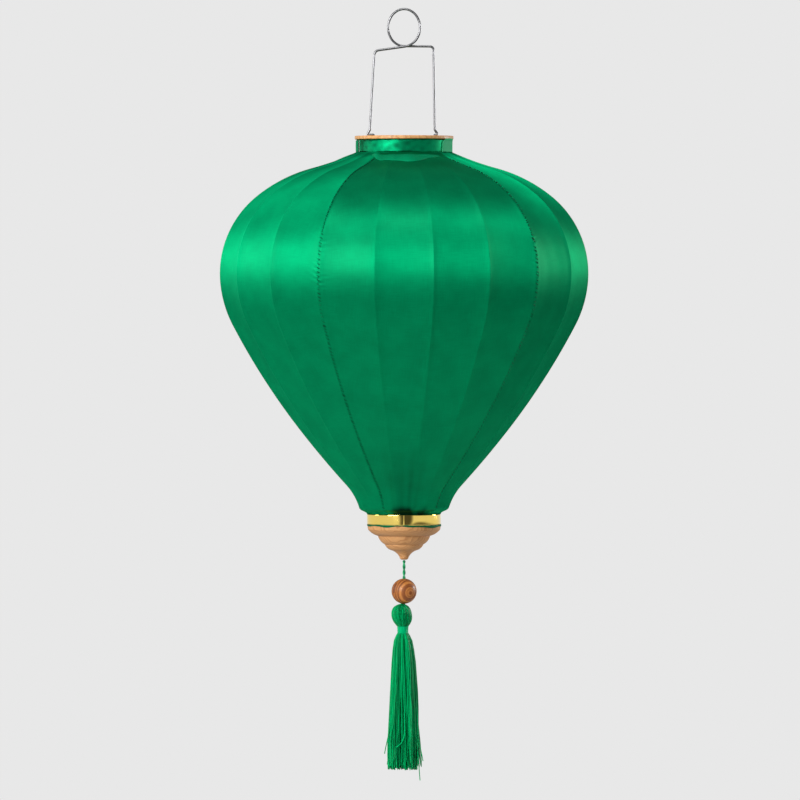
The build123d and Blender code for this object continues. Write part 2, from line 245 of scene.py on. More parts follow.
thread_grain = thread_group("thread_grain", 0.0011, 0.00012)


def add_bump(tree, shader, height, strength):
    """Bump from a height in metres."""
    bump = add(tree, "ShaderNodeBump", {"Height": height, "Strength": strength, "Distance": 1.0})
    tree.links.new(bump.outputs[0], shader.inputs["Normal"])


def add_blend(tree, shader, share, dark, light):
    """Base colour between dark at share 0 and light at share 1."""
    mixed = add(tree, "ShaderNodeMix", {0: share, 6: (*dark, 1), 7: (*light, 1)}, data_type="RGBA")
    tree.links.new(mixed.outputs[2], shader.inputs["Base Color"])


def thread_material(name, dark, light, roughness):
    """Shiny thread: each thread's own tone from its attribute, finer mottling from the grain group."""
    made, tree, shader = new_material(
        name, light, roughness, Specular_IOR_Level=0.25, Sheen_Weight=0.2, Sheen_Roughness=0.4,
    )
    shader.inputs["Sheen Tint"].default_value = (*light, 1)
    shader.inputs["Specular Tint"].default_value = (*(0.04 + 0.9 * c / max(light) for c in light), 1)
    place = add(tree, "ShaderNodeTexCoord")
    grain = add(tree, "ShaderNodeGroup", {"Vector": place.outputs["Object"]}, node_tree=thread_grain)
    tone = add(tree, "ShaderNodeAttribute", attribute_name="tone")
    both = maths(tree, "ADD", tone.outputs["Fac"], grain.outputs["Tone"], use_clamp=True)
    add_blend(tree, shader, both, dark, light)
    add_bump(tree, shader, grain.outputs["Height"], 0.6)
    return made


cord_look = thread_material("rayon_cord", (0.004, 0.11, 0.038), (0.05, 0.46, 0.19), 0.4)

cord_line = bpy.data.curves.new("pendant_cord_line", "CURVE")
cord_line.dimensions = "3D"
cord_line.bevel_depth = 0.36 * CORD_WIDTH
cord_line.bevel_resolution = 3
cord_line.resolution_u = 24
cord_line.use_fill_caps = True
route = cord_line.splines.new("NURBS")
route_points = [(0.0, 0.0, z, 1.0) for z in np.linspace(CORD_TOP, CORD_END, 6)]
route.points.add(len(route_points) - 1)
route.points.foreach_set("co", np.array(route_points).ravel())
route.order_u = 3
route.use_endpoint_u = True
cord_line.materials.append(cord_look)
cord = bpy.data.objects.new("pendant_cord_core", cord_line)
bpy.context.scene.collection.objects.link(cord)
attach(cord, "pendant")
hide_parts("pendant_cord")


def read_line(thing):
    """The points along a curve object's own line, with its thickness left out."""
    bare = thing.data.copy()
    bare.bevel_depth = 0.0
    probe = bpy.data.objects.new("line_probe", bare)
    flat = bpy.data.meshes.new_from_object(probe)
    points = np.empty(len(flat.vertices) * 3)
    flat.vertices.foreach_get("co", points)
    bpy.data.objects.remove(probe)
    bpy.data.meshes.remove(flat)
    bpy.data.curves.remove(bare)
    return points.reshape(-1, 3)


def run_along(points):
    """The length run along a line of points, from 0 at its first."""
    return np.concatenate([[0], np.cumsum(np.linalg.norm(np.diff(points, axis=0), axis=1))])


def along(points, count):
    """The same line as points, as count points evenly spaced along it."""
    way = run_along(points)
    at = np.linspace(0, way[-1], count)
    return np.stack([np.interp(at, way, points[:, k]) for k in range(points.shape[1])], -1)


def tubes(paths, radii, sides=4):
    """Points and faces of closed tubes round many paths at once.

    Each ring is the path's point plus its radius times cos and sin along two directions square to the path.
    """
    paths = np.asarray(paths, float)
    count, length = paths.shape[:2]
    radii = np.broadcast_to(np.asarray(radii, float), (count, length))
    way = np.gradient(paths, axis=1)
    way /= np.linalg.norm(way, axis=-1, keepdims=True)
    guide = np.where(np.abs(way[..., 1:2]) > 0.9, (1.0, 0.0, 0.0), (0.0, 1.0, 0.0))
    across = np.cross(way, guide)
    across /= np.linalg.norm(across, axis=-1, keepdims=True)
    up = np.cross(way, across)
    turn = np.arange(sides) * 2 * math.pi / sides
    ring = np.cos(turn)[:, None] * across[:, :, None] + np.sin(turn)[:, None] * up[:, :, None]
    points = paths[:, :, None] + radii[..., None, None] * ring
    start = (np.arange(count) * length * sides)[:, None, None]
    quads = (start + grid_faces(length, sides, closed=True)[:, ::-1]).reshape(-1, 4)
    cap = np.arange(sides)
    first_caps = start[:, 0] + cap
    last_caps = start[:, 0] + (length - 1) * sides + cap[::-1]
    return points.reshape(-1, 3), quads.tolist() + first_caps.tolist() + last_caps.tolist()


def thread_object(name, paths, radii, material, body, sides=4, tone=0.5):
    """One object of many tubes; tone is a value for each tube."""
    points, faces = tubes(paths, radii, sides)
    tones = np.broadcast_to(np.asarray(tone, float), (len(paths),))
    tones = np.repeat(tones, len(points) // len(paths))
    return mesh_object(name, points, faces, material, body=body, tone=tones)


def two_ply(line, offset, pitch, count):
    """Two strands round a line: each turns once round it in every pitch, half a turn from the other."""
    middle = along(line, count)
    turn = 2 * math.pi * run_along(middle) / pitch + np.array([0.4, 0.4 + math.pi])[:, None]
    side = np.stack([np.cos(turn), np.sin(turn), 0 * turn], -1)
    return middle[None] + offset * side


ply_paths = two_ply(read_line(cord), PLY_OFFSET, PLY_PITCH, 110)
cord_plies = thread_object(
    "pendant_cord_plies", ply_paths, PLY_RADIUS, cord_look, "pendant", sides=8, tone=(0.2, 0.55),
)

# ------------------------------
# Cord bend, inner cord and stopper knot. The same cord, carried over from
# CAD: it comes up through the wooden drop and is knotted inside the lantern.
def dress(names, material):
    """Gives nodes carried over from CAD their material."""
    for name in names:
        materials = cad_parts[name].data.materials
        materials.clear()
        materials.append(material)


dress(("cord_bend", "inner_cord", "stopper_knot"), cord_look)

# ------------------------------
# Tassel. A hank of rayon threads folded over the cord's loop: a lop-sided
# round head, a smooth wrap that binds the neck, and a skirt of loose threads
# with a ragged cut end. It turns with the tassel.
HEAD_TOP = -0.5655
NECK_TOP = -0.5872
NECK_END = -0.5942
SKIRT_END = -0.7245
HEAD_THREADS = 170
HEAD_RADIUS = 0.00052
HEAD_LEVELS = (0.0, 0.03, 0.08, 0.15, 0.28, 0.40, 0.55, 0.66, 0.76, 0.86, 0.94, 1.0)
HEAD_WIDTHS = (0.0006, 0.0034, 0.0056, 0.0077, 0.0091, 0.0097, 0.0098, 0.0094, 0.0086, 0.0073, 0.0059, 0.0051)
SKIRT_THREADS = 440
HEAD_SIDE = -0.0021
NECK_SIDE = -0.0012
SKIRT_SIDE = -0.0004

tassel_draw = np.random.default_rng(11)
tassel_look = thread_material("rayon_tassel", (0.0, 0.040, 0.009), (0.0, 0.46, 0.140), 0.36)
wrap_look = thread_material("rayon_wrap", (0.0, 0.20, 0.065), (0.0, 0.58, 0.22), 0.25)


def bulb(turn, drop):
    """Half-width of the tassel's head at a turn and a share of the way down, fuller at the upper left."""
    full = np.interp(drop, HEAD_LEVELS, HEAD_WIDTHS)
    lean = 0.0010 * np.cos(turn - math.radians(200)) * np.sin(math.pi * drop) * (1 - drop)
    return full + lean


def around(far, turn, height, shift=0.0):
    """Points at a distance and a turn (0 in front, + to the right) round Z, at a height, shifted along X."""
    return np.stack(np.broadcast_arrays(shift + far * np.sin(turn), -far * np.cos(turn), height), -1)


head_turn = tassel_draw.uniform(0, 2 * math.pi, HEAD_THREADS)
head_skew = tassel_draw.normal(0.25, 0.22, HEAD_THREADS)
head_sink = tassel_draw.uniform(0.0, 0.0009, HEAD_THREADS)
drop = np.linspace(0.0, 1.0, 18)[None, :]
head_angle = head_turn[:, None] + head_skew[:, None] * (drop - 0.5)
head_wide = bulb(head_angle, drop) - head_sink[:, None] - 0.0004
head_centre = HEAD_SIDE + (NECK_SIDE - HEAD_SIDE) * np.clip(drop * 1.2 - 0.2, 0, 1)
head_paths = np.stack([
    head_centre + head_wide * np.cos(head_angle),
    head_wide * np.sin(head_angle),
    HEAD_TOP + (NECK_TOP - HEAD_TOP) * drop + 0 * head_angle,
], -1)
tassel_head = thread_object(
    "tassel_head_threads", head_paths, HEAD_RADIUS, tassel_look, "tassel",
    tone=tassel_draw.uniform(0.0, 0.62, HEAD_THREADS),
)
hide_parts("tassel_head")

CORE_ROWS = 25
CORE_STEPS = 32
CORE_DEPTH = 0.0011
core_turn = circle(CORE_STEPS)[None, :]
core_drop = np.concatenate([[0.0], np.linspace(0.02, 1.0, CORE_ROWS - 1)])[:, None]
core_wide = (bulb(core_turn, core_drop) - CORE_DEPTH) * np.where(core_drop > 0, 1, 0)
core_height = HEAD_TOP - 0.0004 + (NECK_TOP - HEAD_TOP) * core_drop
core_points = around(core_wide, core_turn, core_height, HEAD_SIDE + (NECK_SIDE - HEAD_SIDE) * core_drop)
core_faces = grid_faces(CORE_ROWS, CORE_STEPS, closed=True).tolist()
core_faces.append(list(range((CORE_ROWS - 1) * CORE_STEPS, CORE_ROWS * CORE_STEPS))[::-1])
# Painted shade: the core stands for the head's inner threads and takes the darkest tone, the shade they lie
# in.
core_shade_tone = np.zeros(CORE_ROWS * CORE_STEPS)
tassel_core = mesh_object(
    "tassel_head_core", core_points, core_faces, tassel_look, body="tassel", tone=core_shade_tone,
)

WRAP_TURNS = 9
WRAP_STEPS = 40
WRAP_ROWS = WRAP_TURNS * 8 + 1
wrap_rise = np.linspace(0, 1, WRAP_ROWS)[:, None]
wrap_ridge = np.abs(np.sin(math.pi * WRAP_TURNS * wrap_rise)) ** 0.7
wrap_wide = 0.0049 + 0.0003 * wrap_ridge + 0.0003 * (1 - wrap_rise) ** 2
wrap_turn = circle(WRAP_STEPS)
wrap_tilt = 0.0005 * np.cos(wrap_turn - 0.7)
wrap_height = NECK_TOP + (NECK_END - NECK_TOP) * wrap_rise + wrap_tilt
wrap_points = around(wrap_wide, wrap_turn, wrap_height, NECK_SIDE)
wrap_faces = grid_faces(WRAP_ROWS, WRAP_STEPS, closed=True).tolist()
wrap_faces.append(list(range(WRAP_STEPS)))
wrap_faces.append(list(range((WRAP_ROWS - 1) * WRAP_STEPS, WRAP_ROWS * WRAP_STEPS))[::-1])
wrap_tone = np.full(WRAP_ROWS * WRAP_STEPS, 0.35)
neck_wrap = mesh_object(
    "neck_wrap_turns", wrap_points, wrap_faces, wrap_look, body="tassel", tone=wrap_tone,
)
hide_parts("neck_wrap")

skirt_level = np.array([0.0, 0.02, 0.06, 0.13, 0.22, 0.33, 0.45, 0.57, 0.69, 0.8, 0.9, 0.96, 1.0])
skirt_width = np.interp(
    skirt_level, [0.0, 0.02, 0.045, 0.08, 0.21, 0.41, 0.61, 0.81, 1.0],
    [0.0046, 0.0062, 0.0080, 0.0093, 0.0112, 0.0127, 0.0137, 0.0148, 0.0152],
)
skirt_turn = tassel_draw.uniform(0, 2 * math.pi, SKIRT_THREADS)
skirt_share = tassel_draw.uniform(0.35, 1.0, SKIRT_THREADS) ** 0.5
skirt_share[::4] *= 0.45
skirt_long = 0.985 + tassel_draw.normal(0.0, 0.016, SKIRT_THREADS)
skirt_long = skirt_long - 0.05 * (tassel_draw.random(SKIRT_THREADS) < 0.12)
skirt_notch = (0.5 + 0.5 * np.sin(9 * skirt_turn + 1.0)) ** 2
skirt_long = skirt_long - 0.034 * skirt_notch * (0.5 + 0.5 * np.cos(4 * skirt_turn))
skirt_wander = tassel_draw.normal(0.0, 1.0, (SKIRT_THREADS, 4))
s = skirt_level[None, :]
drift, bend, lag, loose = (skirt_wander[:, k:k + 1] for k in range(4))
skirt_angle = skirt_turn[:, None] + 0.22 * drift * s + 0.10 * bend * np.sin(5.2 * s + lag)
skirt_reach = skirt_width[None] * skirt_share[:, None] * (1 + 0.05 * loose * s ** 2)
curl = (0.0007 + 0.0005 * loose) * np.sin(9 * s + 3 * drift) * s ** 2
skirt_centre = NECK_SIDE + (SKIRT_SIDE - NECK_SIDE) * np.clip(4 * s, 0, 1)
skirt_paths = np.stack([
    skirt_centre + (skirt_reach + curl) * np.cos(skirt_angle),
    (skirt_reach - curl) * np.sin(skirt_angle),
    NECK_END + 0.0012 + (SKIRT_END - NECK_END) * np.minimum(skirt_long, 1.0)[:, None] * s,
], -1)
skirt_thick = 0.00056 * (1 - 0.35 * s ** 8) + 0 * skirt_angle
skirt_group = np.cos(skirt_turn * 5 + 0.8) * 0.22 + np.cos(skirt_turn * 11 - 0.5) * 0.14
# Threads further in are darker, painted shade inside the skirt; skirt_group and a random draw give each thread
# its own tone.
skirt_tone_and_shade = 0.30 + skirt_group + tassel_draw.normal(0, 0.19, SKIRT_THREADS) - 0.35 * (1 - skirt_share)
skirt_tone_and_shade = np.clip(skirt_tone_and_shade, 0, 0.9)
tassel_skirt = thread_object(
    "tassel_skirt_threads", skirt_paths, skirt_thick, tassel_look, "tassel", tone=skirt_tone_and_shade,
)
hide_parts("tassel_skirt")


def stray(points, count=18):
    """A loose thread drawn smoothly through a few points, by a quadratic spline of their middles."""
    points = np.asarray(points, float)
    middles = np.concatenate([points[:1], (points[:-1] + points[1:]) / 2, points[-1:]])
    u = np.linspace(0, 1, 8)[:, None]
    pieces = [
        (1 - u) ** 2 * before + 2 * u * (1 - u) * point + u ** 2 * after
        for before, point, after in zip(middles, points, middles[1:])
    ]
    return along(np.concatenate(pieces), count)


stray_routes = (
    ((0.0118, -0.008, -0.69), (0.0132, -0.008, -0.706), (0.0143, -0.0075, -0.722), (0.0152, -0.007, -0.7335)),
    ((-0.012, -0.006, -0.672), (-0.0148, -0.0065, -0.69), (-0.0172, -0.007, -0.7), (-0.0186, -0.007, -0.708)),
    (
        (0.0002, -0.0148, -0.668), (0.0009, -0.0158, -0.688),
        (-0.0016, -0.0163, -0.697), (-0.0078, -0.0158, -0.7015),
    ),
    ((0.013, -0.006, -0.690), (0.015, -0.0065, -0.700), (0.0168, -0.007, -0.7085), (0.018, -0.007, -0.715)),
    ((-0.0105, -0.0096, -0.680), (-0.0132, -0.0102, -0.694), (-0.0142, -0.0098, -0.7015)),
    ((0.006, -0.0145, -0.65), (0.0075, -0.0158, -0.672), (0.0052, -0.016, -0.7), (0.0066, -0.0152, -0.716)),
)
strays = thread_object(
    "tassel_stray_threads", [stray(route) for route in stray_routes], 0.00042, tassel_look, "tassel",
    sides=6, tone=(0.35, 0.3, 0.8, 0.3, 0.5, 0.55),
)

# ------------------------------
# Bead. Turned and varnished hardwood, drilled through for the cord, which
# it slides on. Its growth rings stand round an axis that comes out of the
# ball's front, a little to the right.
BEAD_CENTRE = (0.0, 0.0, -0.5533)


def ring_group(name):
    """Node group: growth rings round the Z axis of any Vector, in metres.

    Gives the Rings, the fine Pores, a Height, and the Distance from the axis after the rings' wander.
    """
    group, enter, leave = new_group(
        name, ("Spacing", "Wander", "Sharpness"), ("Rings", "Pores", "Height", "Distance"),
    )
    place = enter.outputs["Vector"]
    drift = add(group, "ShaderNodeTexNoise", {"Vector": place, "Scale": 70.0, "Detail": 2.0})
    centred = vector_maths(group, "SUBTRACT", drift.outputs["Color"], (0.5,) * 3)
    pushed = vector_maths(group, "SCALE", centred, enter.outputs["Wander"])
    moved = vector_maths(group, "ADD", place, pushed)
    flat = vector_maths(group, "MULTIPLY", moved, (1, 1, 0))
    far = add(group, "ShaderNodeVectorMath", {0: flat}, operation="LENGTH").outputs["Value"]
    share = maths(group, "FRACT", maths(group, "DIVIDE", far, enter.outputs["Spacing"]))
    late = ramp(group, share, 0.0, 0.12, 1.0, 0.0, interpolation_type="SMOOTHSTEP")
    rings = maths(group, "MAXIMUM", maths(group, "POWER", share, enter.outputs["Sharpness"]), late)
    pores = noise(group, vector_maths(group, "MULTIPLY", place, (2600, 2600, 160)), 1.0, 2.0)
    height = maths(group, "MULTIPLY", pores, 0.00005)
    results = {"Rings": rings, "Pores": pores, "Height": height, "Distance": far}
    for label, socket in results.items():
        group.links.new(socket, leave.inputs[label])
    return group


wood_rings = ring_group("wood_rings")


def wood_material(name, grain_from, grain_to, wander, varnish):
    """Wood whose growth rings stand round the line from grain_from to grain_to.

    Gives the ring group as well, from which each piece takes its colours.
    """
    made, tree, shader = new_material(
        name, (0.5, 0.2, 0.05), 0.55,
        Coat_Weight=varnish, Coat_Roughness=0.20, Coat_IOR=1.5, Specular_IOR_Level=0.35,
    )
    way = (Vector(grain_to) - Vector(grain_from)).normalized()
    turn = way.rotation_difference(Vector((0, 0, 1))).to_euler()
    place = add(tree, "ShaderNodeTexCoord")
    shift = vector_maths(tree, "SUBTRACT", place.outputs["Object"], grain_from)
    turning = {"Vector": shift, "Rotation": tuple(turn)}
    turned = add(tree, "ShaderNodeVectorRotate", turning, rotation_type="EULER_XYZ").outputs[0]
    grain = add(tree, "ShaderNodeGroup", {"Vector": turned, "Wander": wander}, node_tree=wood_rings)
    add_bump(tree, shader, grain.outputs["Height"], 0.5)
    return made, tree, shader, grain


def lathe(name, profile, material, body, steps=96):
    """A turned piece: rows (radius, height) go down its outside and back up its bore, each turned round Z."""
    profile = np.asarray(profile, float)
    points = around(profile[:, :1], circle(steps), profile[:, 1:2])
    last = (len(profile) - 1) * steps
    j = np.arange(steps)
    k = (j + 1) % steps
    close = np.stack([last + j, j, k, last + k], -1)
    faces = np.concatenate([grid_faces(len(profile), steps, closed=True), close])
    return mesh_object(name, points, faces, material, body=body)


BEAD_RADIUS = 0.0120
BEAD_RINGS = (  # share of the radius from the grain's axis, colour
    (0.00, (0.20, 0.052, 0.008)), (0.10, (0.23, 0.060, 0.009)), (0.20, (0.47, 0.170, 0.036)),
    (0.33, (0.34, 0.105, 0.018)), (0.40, (0.50, 0.185, 0.040)), (0.48, (0.21, 0.055, 0.009)),
    (0.66, (0.26, 0.075, 0.013)), (0.76, (0.56, 0.215, 0.050)), (0.84, (0.42, 0.140, 0.028)),
    (0.885, (0.10, 0.022, 0.004)), (0.93, (0.50, 0.175, 0.040)), (0.965, (0.13, 0.030, 0.005)),
    (0.985, (0.44, 0.150, 0.030)), (1.0, (0.16, 0.040, 0.007)),
)
BEAD_BORE = 0.00175
bead_look, bead_tree, bead_shader, bead_grain = wood_material(
    "varnished_bead", BEAD_CENTRE, (0.0062, -0.0100, -0.5545), wander=0.0011, varnish=0.14,
)
bead_share = maths(bead_tree, "DIVIDE", bead_grain.outputs["Distance"], BEAD_RADIUS)
bead_ramp = add(bead_tree, "ShaderNodeValToRGB", {0: bead_share})
bead_stops = bead_ramp.color_ramp.elements
bead_stops[0].color = (*BEAD_RINGS[0][1], 1)
bead_stops[1].color = (*BEAD_RINGS[-1][1], 1)
for position, colour in BEAD_RINGS[1:-1]:
    bead_stops.new(position).color = (*colour, 1)
bead_tree.links.new(bead_ramp.outputs["Color"], bead_shader.inputs["Base Color"])
bead_mouth = math.asin(BEAD_BORE / BEAD_RADIUS)
bead_lean = np.linspace(bead_mouth, math.pi - bead_mouth, 61)
bead_height = BEAD_CENTRE[2] + BEAD_RADIUS * np.cos(bead_lean)
bead_outer = np.stack([BEAD_RADIUS * np.sin(bead_lean), bead_height], -1)
bore_height = np.linspace(bead_height[-1], bead_height[0], 6)[1:-1]
bead_inner = np.stack([np.full(4, BEAD_BORE), bore_height], -1)
bead = lathe("bead_ball", np.concatenate([bead_outer, bead_inner]), bead_look, "bead")
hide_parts("wood_bead")

# ------------------------------
# Wooden drop, bottom hub and top ring. Pale plain-sawn wood turned on a
# lathe and left bare, carried over from CAD. The drop is glued under the
# hub that gathers the ribs' lower ends; the ring holds their upper ends.
wood_look, wood_tree, wood_shader, wood_grain = wood_material(
    "turned_wood", (0.012, 0.046, -0.505), (0.016, 0.060, -0.35), wander=0.012, varnish=0.12,
)
wood_grain.inputs["Spacing"].default_value = 0.0026
wood_grain.inputs["Sharpness"].default_value = 2.2
wood_inputs = {0: wood_grain.outputs["Rings"], 6: (0.64, 0.325, 0.125, 1), 7: (0.46, 0.20, 0.065, 1)}
wood_ringed = add(wood_tree, "ShaderNodeMix", wood_inputs, data_type="RGBA")
wood_speck = ramp(wood_tree, wood_grain.outputs["Pores"], 0.35, 0.6, 0.84, 1.0)
wood_full = vector_maths(wood_tree, "SCALE", wood_ringed.outputs[2], wood_speck)
wood_tree.links.new(wood_full, wood_shader.inputs["Base Color"])
dress(("finial", "bottom_hub", "top_ring"), wood_look)

# ------------------------------
# Ribs. Split bamboo strips, bent round under the silk from the ring to the
# hub and laced at both ends, carried over from CAD.
bamboo_look, bamboo_tree, bamboo_shader = new_material(
    "split_bamboo", (0.52, 0.37, 0.17), 0.5, Specular_IOR_Level=0.4,
)
bamboo_place = add(bamboo_tree, "ShaderNodeTexCoord").outputs["Object"]
bamboo_long = vector_maths(bamboo_tree, "MULTIPLY", bamboo_place, (900, 900, 45))
bamboo_streak = noise(bamboo_tree, bamboo_long, 1.0, 3.0)
add_blend(bamboo_tree, bamboo_shader, bamboo_streak, (0.34, 0.21, 0.08), (0.62, 0.47, 0.24))
dress([f"rib_{k + 1:02d}" for k in range(20)], bamboo_look)

# ------------------------------
# Lacings. Waxed thread wound round the ribs' ends in the ring's and the
# hub's grooves, carried over from CAD.
lacing_look = thread_material("waxed_thread", (0.30, 0.26, 0.18), (0.55, 0.50, 0.38), 0.55)
dress(("top_lacing", "bottom_lacing"), lacing_look)

# ------------------------------
# Hanger. One length of zinc-coated wire, bent into an eye, two legs and two
# sprung feet, carried over from CAD.
wire_look, wire_tree, wire_shader = new_material("zinc_wire", (0.50, 0.50, 0.51), 0.32, 1.0)
wire_place = add(wire_tree, "ShaderNodeTexCoord").outputs["Object"]
wire_spangle = noise(wire_tree, wire_place, 900.0, 3.0)
add_blend(wire_tree, wire_shader, wire_spangle, (0.10, 0.10, 0.105), (0.30, 0.30, 0.31))
wire_rough = ramp(wire_tree, wire_spangle, 0.0, 1.0, 0.22, 0.46)
wire_tree.links.new(wire_rough, wire_shader.inputs["Roughness"])
dress(("hanger_wire",), wire_look)

# ------------------------------
# Silk. Five gores of satin, each cut with its warp along its middle, stretched
# over four ribs' spaces and sewn to its neighbours on every fourth rib. The
# cloth runs straight from rib to rib, drawn in a little between them.
GORE_COUNT = 5
FACETS = 4
FACET_ANGLE = math.radians(18)
FIRST_SEAM = math.radians(-27)
HALF = FACET_ANGLE / 2
OUTLINE_START = (0.0475, -0.1360)
OUTLINE_SLOPE = math.radians(-24.1)
OUTLINE_POINTS = [
    (0.0880, -0.1505), (0.1396, -0.1769), (0.1745, -0.2594), (0.1626, -0.2999),
    (0.0985, -0.4000), (0.0550, -0.4520), (0.0426, -0.4740),
]
NECK_POINTS = [
    (0.0412, -0.4754), (0.0384, -0.4766), (0.0358, -0.4776),
    (0.0345, -0.4788), (0.0342, -0.4803), (0.0342, -0.4903),
]
COLLAR_POINTS = [(0.0449, -0.1231), (0.0449, -0.1290), (0.0449, -0.1348), (0.0462, -0.1356)]
ROWS = 236
FACET_STEPS = 24
CLOTH_THICKNESS = 0.0004
SAG_SHARE = 0.066
RIB_DROP = 0.00045
SEAM_GROOVE = 0.0008
PUCKER_PITCH = 0.0047
FINE_PUCKER = 0.00012
COARSE_PUCKER = 0.00060


def arc_chain(start, slope, targets, steps=60):
    """Arcs joined end to end, each leaving the way the last arrived.

    For a chord c at angle b to the way in, the arc turns by 2b on a radius c / (2 sin b).
    """
    here = np.array(start, float)
    heading = slope
    rows = [here]
    for target in targets:
        chord = np.array(target) - here
        lean = math.atan2(chord[1], chord[0]) - heading
        lean = (lean + math.pi) % (2 * math.pi) - math.pi
        share = np.linspace(0, 1, steps + 1)[1:]
        reach = np.linalg.norm(chord) * np.sin(lean * share) / math.sin(lean)
        way = heading + lean * share
        rows.extend(here + reach[:, None] * np.stack([np.cos(way), np.sin(way)], -1))
        heading += 2 * lean
        here = np.array(target, float)
    return np.array(rows)


body_outline = arc_chain(OUTLINE_START, OUTLINE_SLOPE, OUTLINE_POINTS)
outline = along(np.concatenate([COLLAR_POINTS, body_outline, NECK_POINTS]), ROWS)
radius, level = outline[:, 0], outline[:, 1]
run = run_along(outline)
widening = np.gradient(radius, run)
sinking = np.gradient(level, run)


def smooth(low, high, value):
    """0 below low, 1 above high, and a smooth step between them."""
    share = np.clip((value - low) / (high - low), 0, 1)
    return share * share * (3 - 2 * share)


def waves(u, v, seed, count=14, low=20.0, high=90.0):
    """A soft random relief of about -1 to 1.

    It sums plane waves in seeded directions, with wavelengths of 2 pi / high to 2 pi / low.
    """
    draw = np.random.default_rng(seed)
    way = draw.uniform(0, 2 * math.pi, count)
    tight = draw.uniform(low, high, count)
    lag = draw.uniform(0, 2 * math.pi, count)
    total = sum(np.sin(t * (u * math.cos(w) + v * math.sin(w)) + p) for w, t, p in zip(way, tight, lag))
    return total / math.sqrt(count)


quarter = np.sin(np.linspace(-0.5, 0.5, FACET_STEPS + 1) * math.pi)
across = np.concatenate([quarter[:-1] if f < FACETS - 1 else quarter for f in range(FACETS)])
facet = np.concatenate([np.full(FACET_STEPS + (f == FACETS - 1), f) for f in range(FACETS)])


def beside_line(far, side, turn, height):
    """Points far out from the axis at a turn, then to the side of that way, at a height."""
    return np.stack([
        far * np.sin(turn) + side * np.cos(turn), -far * np.cos(turn) + side * np.sin(turn), height + 0 * side,
    ], -1)


def silk_depth(index, r, z, s, spread, azimuth):
    """How far the cloth of one gore lies inside its plain facets.

    It adds a sag of 1 - s squared, a drop beside each rib, a groove and outward puckers at the seams, soft
    waves, and gathers at the gold band and the ribbon.
    """
    down = run[:, None]
    half_width = r * math.tan(HALF)
    from_rib = (1 - np.abs(s)) * half_width
    arc = spread * r
    edge = np.minimum((spread + 2 * FACET_ANGLE) * r, (2 * FACET_ANGLE - spread) * r)
    open_part = smooth(0.004, 0.030, half_width) * smooth(-0.470, -0.440, z)
    body = smooth(0.0, 1.0, open_part)
    sag = SAG_SHARE * half_width * (1 - s ** 2) * body
    beside = RIB_DROP * (1 - np.exp(-(from_rib / 0.0024) ** 2)) * body
    sewn = smooth(-0.485, -0.470, z) * smooth(-0.1365, -0.1420, z)
    groove = SEAM_GROOVE * np.exp(-(edge / 0.0011) ** 2) * sewn
    coarse = smooth(-0.195, -0.215, z) * smooth(-0.315, -0.290, z)
    pucker_size = (FINE_PUCKER + COARSE_PUCKER * coarse) * np.exp(-edge / 0.0060) * body
    pucker_lag = 9 * edge / 0.02 + 2 * waves(arc, down, 40 + index, low=60, high=260)
    pucker = -pucker_size * (1 + np.sin(2 * math.pi * down / PUCKER_PITCH + pucker_lag)) * 0.8
    drift = 0.00028 * waves(arc, down, 60 + index, low=18, high=70) * body * smooth(0.0, 0.012, from_rib)
    drawn = 0.00010 * waves(6 * arc, down, 80 + index, low=25, high=70) * body * smooth(0.0, 0.010, from_rib)
    at_band = 0.00060 * np.exp(-((z + 0.4795) / 0.0045) ** 2)
    gather = at_band * waves(0.9 * azimuth, 0.6 * z, 7, count=12, low=14, high=46)
    at_ribbon = 0.00040 * np.exp(-((z + 0.1400) / 0.0035) ** 2)
    top_fold = at_ribbon * waves(0.9 * azimuth, 0.8 * z, 9, count=10, low=8, high=26)
    gathers = np.clip(gather, -0.0012, 0.0003) + np.clip(top_fold, -0.0008, 0.0003)
    return sag + beside + groove + pucker + drift + drawn + gathers


def fold_shade(z, azimuth):
    """Painted shade for the silk, from 0 to 1.3: how much its colour is darkened.

    It paints shade in the tucks over the gold band and just above it, under the edge turned down under the
    ribbon, below the hem fold in front, and as a soft mottled patch low on the front gore.
    """
    ragged = 0.0014 * waves(0.9 * azimuth, 0.4 * z, 17, count=12, low=18, high=80)
    crease = 0.5 + 0.5 * waves(0.034 * azimuth, 0.12 * z, 17, count=10, low=250, high=700)
    window = smooth(-0.42, -0.22, azimuth) * smooth(0.66, 0.46, azimuth)
    tuck = smooth(0.4690, 0.4780, -z + 0.007 * (crease - 0.5)) * smooth(0.05, 0.50, crease) * window * 1.2
    tuck = tuck + 0.6 * smooth(0.4775, 0.4798, -z)
    under = smooth(-0.1420, -0.1368, z + 0.5 * ragged) * smooth(-0.20, 0.2, np.cos(azimuth - 0.1))
    front = smooth(-0.75, -0.45, azimuth) * smooth(0.80, 0.45, azimuth)
    under = under + 0.5 * np.exp(-((z + 0.1470 + 0.5 * ragged) / 0.0045) ** 2) * front
    # Painted shade: a soft, mottled dark patch low on the front gore.
    front_shade_patch = 0.5 * np.exp(-(azimuth / 0.26) ** 2) * smooth(0.400, 0.455, -z)
    front_shade_patch = front_shade_patch * (1 + 0.35 * waves(0.9 * azimuth, 0.6 * z, 29, count=12, low=14, high=60))
    return np.clip(tuck + 0.7 * under + front_shade_patch, 0, 1.3)


